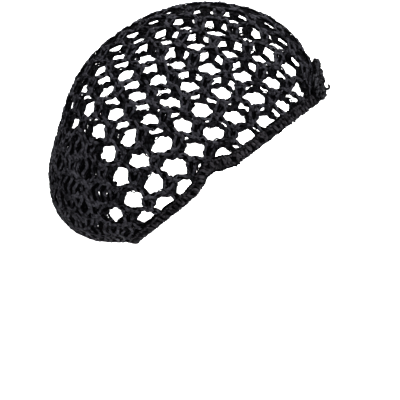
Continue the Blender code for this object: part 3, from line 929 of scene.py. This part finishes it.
for edge in (1.0, -1.0):
    for strand in range(EDGE_CHAIN["strands"]):
        turn = math.tau * (around / rim_length[-1] * chain_turns + strand / EDGE_CHAIN["strands"])
        bumps = [np.sin(around * rate + strand) for rate in EDGE_BUMP["rates"]]
        height = edge * (BAND_HEIGHT / 2 - EDGE_CHAIN["inset"]) + EDGE_CHAIN["depth"] / 2 * np.sin(2 * turn)
        height = height + edge * EDGE_BUMP["reach"] * bumps[0] * bumps[1]
        lift = EDGE_CHAIN["width"] / 2 * np.sin(turn)
        bundles.append(tuple(part[None] for part in on_band(around, height, lift)))


def joined_yarn(name, bundles, material, thickness):
    """Yarn pieces of unlike numbers of points, joined into one mesh."""
    made = []
    for strands in bundles:
        widths = uneven(thickness, len(strands[0]), UNEVEN_BAND, draws)
        made.append(yarn_piece(name, strands, material, widths))
    bpy.ops.object.select_all(action="DESELECT")
    for piece in made:
        piece.select_set(True)
    bpy.context.view_layer.objects.active = made[0]
    bpy.ops.object.join()
    made[0].select_set(False)
    made[0].name = name
    return made[0]


band_stitches = joined_yarn("band_stitches", bundles, band_yarn, BAND_YARN_WIDTH)
for piece in (band_core, band_stitches):
    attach(piece, "root")
    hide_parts("edge_band")

# Front ruffle
# In front the edge is gathered on its elastic and rolls up into three soft folds of bunched net. Its
# yarn wanders along the folds in slack rows, and small loops stand out between them and at the top.
RUFFLE_WIDTH = 0.068
RUFFLE_FOOT = 0.0045
RUFFLE_HEIGHT = 0.0335
RUFFLE_DEPTH = 0.0080
RUFFLE_ROLLS = 3
RUFFLE_ROLL_FULLNESS = 0.6
RUFFLE_VALLEY = 0.42
RUFFLE_END_SWELL = 0.2
RUFFLE_END_HEIGHT = 0.28
RUFFLE_SLIMMER_TOP = 0.28
RUFFLE_GATHERS = 9
RUFFLE_GATHER_DEPTH = 0.0009
RUFFLE_GAP = 0.0005
RUFFLE_STATIONS = 61
RUFFLE_LEVELS = 31
RUFFLE_SAMPLES = 161
RUFFLE_SIDE = 0.5
RUFFLE_CORE_SHARE = 0.36
RUFFLE_YARN_WIDTH = 0.88


def ruffle_grid():
    """Places on the bag under the ruffle and its depth there, from end to end and from foot to top."""
    fine = np.linspace(0, 1, RUFFLE_SAMPLES)
    side = np.linspace(0, RUFFLE_SIDE, RUFFLE_SAMPLES)
    wanted = np.linspace(0, RUFFLE_WIDTH / 2, (RUFFLE_STATIONS + 1) // 2)
    shares = np.interp(wanted, lower_edge(side)[:, 1], side)
    rise = np.linspace(0, 1, RUFFLE_LEVELS)
    rows = []
    for r in rise:
        line = edge_line(fine, RUFFLE_FOOT + RUFFLE_HEIGHT * r)
        rows.append(points_at(shares, fine, line))
    rows = np.array(rows)
    across = np.linspace(0, 1, rows.shape[1])
    swell = np.sqrt(np.maximum(1 - across**2, RUFFLE_END_SWELL**2))
    tall = RUFFLE_END_HEIGHT + (1 - RUFFLE_END_HEIGHT) * swell
    places = onto_bag(rows[:1] + (rows - rows[:1]) * tall[None, :, None])
    rolls = np.abs(np.sin(math.pi * RUFFLE_ROLLS * rise)) ** RUFFLE_ROLL_FULLNESS
    slim = 1 - RUFFLE_SLIMMER_TOP * rise
    depth = RUFFLE_DEPTH * swell[None] * (slim * (1 - RUFFLE_VALLEY * (1 - rolls)))[:, None]
    gathers = np.cos(math.pi * RUFFLE_GATHERS * across) * swell
    depth = depth + RUFFLE_GATHER_DEPTH * gathers[None] * rolls[:, None]
    places = np.concatenate(((places * mirror)[:, :0:-1], places), axis=1)
    depth = np.concatenate((depth[:, :0:-1], depth), axis=1)
    return places, depth


ruffle_places, ruffle_depth = ruffle_grid()
ruffle_out = unit(gradient(ruffle_places))
ruffle_seat = BAND_THICKNESS / 2 + RUFFLE_GAP
ruffle_inner = ruffle_places + ruffle_seat * ruffle_out
ruffle_outer = ruffle_places + (ruffle_seat + ruffle_depth * RUFFLE_CORE_SHARE)[..., None] * ruffle_out


def closed_pad(name, inner, outer, material):
    """A closed body between two grids of places that share no edge."""
    sections = np.concatenate((inner, outer[::-1]), axis=0).transpose(1, 0, 2)
    number, corners = sections.shape[:2]
    faces = ring_walls(number, corners, closed=False)
    row = np.arange(len(inner) - 1)
    for start, turned in ((0, 1), ((number - 1) * corners, -1)):
        cap = np.stack((row, row + 1, corners - 2 - row, corners - 1 - row), axis=-1)[:, ::turned]
        faces += (cap + start).tolist()
    return closed_body(name, sections, faces, material)


# Painted shade: the folds' core is coloured nearly black, like the yarn in its shaded pits, as it lies deep
# under the rows.
ruffle_core_yarn = core_material("ruffle_core_yarn", (0.0012, 0.0012, 0.0016))
# Ruffle yarn: the dark colour is its deepest painted shade, the light one the yarn lit on a crest.
ruffle_yarn = yarn_material(
    "ruffle_yarn", (0.0004, 0.0004, 0.0006), (0.084, 0.084, 0.096), pit=0.0002, crest=0.0028
)
ruffle_core = closed_pad("ruffle_folds", ruffle_inner, ruffle_outer, ruffle_core_yarn)


def on_ruffle(across, rise, lift):
    """Places by shares from end to end (0 to 1) and foot to top (0 to 1), and lift off the folds."""
    rows, columns = ruffle_outer.shape[:2]
    row = np.clip(rise, 0, 1) * (rows - LAST_CELL)
    column = np.clip(across, 0, 1) * (columns - LAST_CELL)
    out = unit(between(ruffle_out, row, column))
    return between(ruffle_outer, row, column) + lift[..., None] * out, out


RUFFLE_ROWS = 10
ROW_POINTS = 130
ROW_ENDS = (0.015, 0.985)
ROW_SWAY = {"rises": (0.065, 0.0455), "rates": (31, 67)}
ROW_LIFT = {"least": 0.0015, "wave": 0.00175, "rates": (47, 19)}
bundles = []
share_across = np.linspace(*ROW_ENDS, ROW_POINTS)
for row in range(RUFFLE_ROWS):
    starts = draws.uniform(0, math.tau, 4)
    rise = (row + 0.5) / RUFFLE_ROWS
    for reach_up, rate, start in zip(ROW_SWAY["rises"], ROW_SWAY["rates"], starts[:2]):
        rise = rise + reach_up * np.sin(share_across * rate + start)
    waves = [np.sin(share_across * rate + start) for rate, start in zip(ROW_LIFT["rates"], starts[2:])]
    lift = ROW_LIFT["least"] + ROW_LIFT["wave"] * waves[0] * waves[1]
    middle, out = on_ruffle(share_across, rise, lift)
    bundles.append((middle[None], out[None], lift[None]))

LOOP_REACH = 0.0043
LOOP_HALF_WIDTH = 0.7
LOOP_RISE = (0.25, 0.75)
LOOP_SHADE_DROP = 0.0004
LOOP_POINTS = 15
LOOP_CLOSING = 0.7
SLACK_LOOPS = {"number": 120, "ends": (0.03, 0.97), "crowding": 0.8, "lean": 0.45, "sizes": (0.45, 1.0)}
RIM_LOOPS = {"number": 12, "ends": (0.18, 0.82), "rise": 0.93, "lean": (0.2, 0.5), "sizes": (0.6, 1.1)}
RIM_LOOP_TWIST = 0.25
slack_number, rim_number = SLACK_LOOPS["number"], RIM_LOOPS["number"]
slack_across = draws.uniform(*SLACK_LOOPS["ends"], slack_number)
share_across = np.concatenate((slack_across, np.linspace(*RIM_LOOPS["ends"], rim_number)))
slack_rise = draws.beta(SLACK_LOOPS["crowding"], SLACK_LOOPS["crowding"], slack_number)
share_rise = np.concatenate((slack_rise, np.full(rim_number, RIM_LOOPS["rise"])))
places, out = on_ruffle(share_across, share_rise, np.zeros(slack_number + rim_number))
lean = out + draws.normal(0, SLACK_LOOPS["lean"], out.shape)
spread = draws.normal(0, 1, out.shape)
rim_lean = draws.normal(*RIM_LOOPS["lean"], (rim_number, 1)) * np.array((0, 0, 1))
lean[slack_number:] = out[slack_number:] + rim_lean
spread[slack_number:] = np.array((0, 1, 0)) + draws.normal(0, RIM_LOOP_TWIST, (rim_number, 3))
lean = unit(lean)
level = unit(np.cross(lean, spread))
loop_size = draws.uniform(*SLACK_LOOPS["sizes"], (len(out), 1, 1))
loop_size[slack_number:] = draws.uniform(*RIM_LOOPS["sizes"], (rim_number, 1, 1))
loop_size = LOOP_REACH * loop_size
swing = np.linspace(-LOOP_CLOSING, math.pi + LOOP_CLOSING, LOOP_POINTS)
loop_paths = (
    places[:, None]
    + loop_size * LOOP_HALF_WIDTH * np.cos(swing)[None, :, None] * level[:, None]
    + loop_size * (LOOP_RISE[0] + LOOP_RISE[1] * np.sin(swing))[None, :, None] * lean[:, None]
)
loop_outs = np.broadcast_to(unit(np.cross(lean, level))[:, None], loop_paths.shape)
# Painted shade: the loops' lift attribute rises with their swing and is set a little lower, so their feet
# are drawn dark and their tops light; their paths are not moved by it.
bundles.append((loop_paths, loop_outs, loop_size[..., 0] * np.sin(swing)[None, :] - LOOP_SHADE_DROP))
ruffle_rows = joined_yarn("ruffle_rows", bundles, ruffle_yarn, RUFFLE_YARN_WIDTH)
for piece in (ruffle_core, ruffle_rows):
    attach(piece, "root")
    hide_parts("front_ruffle")

# Yarn end
# The yarn was cut after the last stitch, and its short end curls out of the ruffle's foot.
END_WIDTH = 0.95
END_PLACE = {"across": 0.5, "rise": 0.26}
END_LEAD = 0.0050
END_LEAD_POINTS = 8
END_HOOK = 0.0023
END_HOOK_TURN = (-math.pi / 2, 1.15)
END_HOOK_POINTS = 14
END_SWAY = {"reach": 0.0008, "turn": 5}
END_SHADE_LIFT = 0.0006
end_share = np.linspace(0, 1, END_LEAD_POINTS)[:-1]
curl = np.linspace(*END_HOOK_TURN, END_HOOK_POINTS)
end_start = on_ruffle(np.array((END_PLACE["across"],)), np.array((END_PLACE["rise"],)), np.zeros(1))[0]
end_x = np.concatenate((END_LEAD * end_share, END_LEAD + END_HOOK * np.cos(curl)))
end_y = END_SWAY["reach"] * np.sin(np.linspace(0, END_SWAY["turn"], len(end_x)))
end_z = np.concatenate((-END_HOOK * end_share**2, END_HOOK * np.sin(curl)))
end_path = end_start + np.stack((end_x, end_y, end_z), axis=-1)
end_outs = np.broadcast_to(np.array((0.0, -1.0, 0.0)), end_path.shape)
# Painted shade: the yarn end keeps one lift for its tone, though its path is not lifted.
end_strand = (end_path[None], end_outs[None], np.full((1, len(end_path)), END_SHADE_LIFT))
yarn_end = yarn_piece("yarn_end", end_strand, ruffle_yarn, END_WIDTH)
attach(yarn_end, "root")

# Studio
# A pale floor runs up into a pale wall behind, well clear of the net. A soft key, fill and top light are
# on the net, and one more is on the wall.
FLOOR_HEIGHT = -0.750
FLOOR_REACH = 3.0
WALL_BACK = 2.4
WALL_HEIGHT = 2.6
SWEEP_RADIUS = 0.7
SWEEP_POINTS = 17
PAPER_COLOUR = (0.93, 0.93, 0.93, 1.0)
PAPER_ROUGHNESS = 0.9
sweep = [(-FLOOR_REACH, 0.0)]
for turn in np.linspace(0, math.pi / 2, SWEEP_POINTS):
    back = WALL_BACK - SWEEP_RADIUS + SWEEP_RADIUS * math.sin(turn)
    sweep.append((back, SWEEP_RADIUS * (1 - math.cos(turn))))
sweep.append((WALL_BACK, WALL_HEIGHT))
backdrop_mesh = bpy.data.meshes.new("backdrop")
backdrop_mesh.from_pydata(
    [(x, y, FLOOR_HEIGHT + z) for y, z in sweep for x in (-FLOOR_REACH, FLOOR_REACH)],
    [],
    [(2 * i, 2 * i + 1, 2 * i + 3, 2 * i + 2) for i in range(len(sweep) - 1)],
)
backdrop_mesh.shade_smooth()
backdrop = bpy.data.objects.new("backdrop", backdrop_mesh)
bpy.context.collection.objects.link(backdrop)
paper = bpy.data.materials.new("backdrop_paper")
paper.use_nodes = True
paper_shader = paper.node_tree.nodes["Principled BSDF"].inputs
paper_shader["Base Color"].default_value = PAPER_COLOUR
paper_shader["Roughness"].default_value = PAPER_ROUGHNESS
backdrop_mesh.materials.append(paper)

VIEW_MIDDLE = (0.0, 0.0, -0.1872)
WALL_MIDDLE = (0.0, 2.35, -0.25)
WORLD_COLOUR = (1.0, 1.0, 1.0, 1.0)
WORLD_STRENGTH = 0.12
LIGHTS = (
    {"name": "key", "place": (0.05, -1.4, 1.1), "target": VIEW_MIDDLE, "size": 0.5, "power": 27.0},
    {"name": "fill", "place": (1.3, -1.3, 0.2), "target": VIEW_MIDDLE, "size": 1.0, "power": 4.0},
    {"name": "top", "place": (0.1, 0.2, 1.4), "target": VIEW_MIDDLE, "size": 0.7, "power": 15.0},
    {"name": "wall", "place": (0.0, 1.2, 0.80), "target": WALL_MIDDLE, "size": 0.5, "power": 80.0},
)


def face_to(thing, target):
    """Turns a light or camera to look at a place."""
    way = tuple(t - p for t, p in zip(target, thing.location))
    flat = math.hypot(way[0], way[1])
    thing.rotation_euler = (math.atan2(flat, -way[2]), 0.0, math.atan2(-way[0], way[1]))


for row in LIGHTS:
    lamp = bpy.data.lights.new(row["name"], "AREA")
    lamp.shape = "SQUARE"
    lamp.size = row["size"]
    lamp.energy = row["power"]
    light = bpy.data.objects.new(row["name"], lamp)
    light.location = row["place"]
    face_to(light, row["target"])
    bpy.context.collection.objects.link(light)
world = bpy.data.worlds.new("soft_white")
world.use_nodes = True
world.node_tree.nodes["Background"].inputs["Color"].default_value = WORLD_COLOUR
world.node_tree.nodes["Background"].inputs["Strength"].default_value = WORLD_STRENGTH
bpy.context.scene.world = world
bpy.context.scene.view_settings.view_transform = "Standard"

# Camera
# Level with the net's middle and square to its right side, from far off through a long lens.
VIEW_WIDTH = 0.385
VIEW_DISTANCE = 1.8
SENSOR_WIDTH = 0.036
MILLIMETRES = 1000
lens = bpy.data.cameras.new("camera")
lens.sensor_width = SENSOR_WIDTH * MILLIMETRES
lens.lens = SENSOR_WIDTH * VIEW_DISTANCE / VIEW_WIDTH * MILLIMETRES
camera = bpy.data.objects.new("camera", lens)
camera.location = (VIEW_MIDDLE[0], VIEW_MIDDLE[1] - VIEW_DISTANCE, VIEW_MIDDLE[2])
face_to(camera, VIEW_MIDDLE)
bpy.context.collection.objects.link(camera)
bpy.context.scene.camera = camera
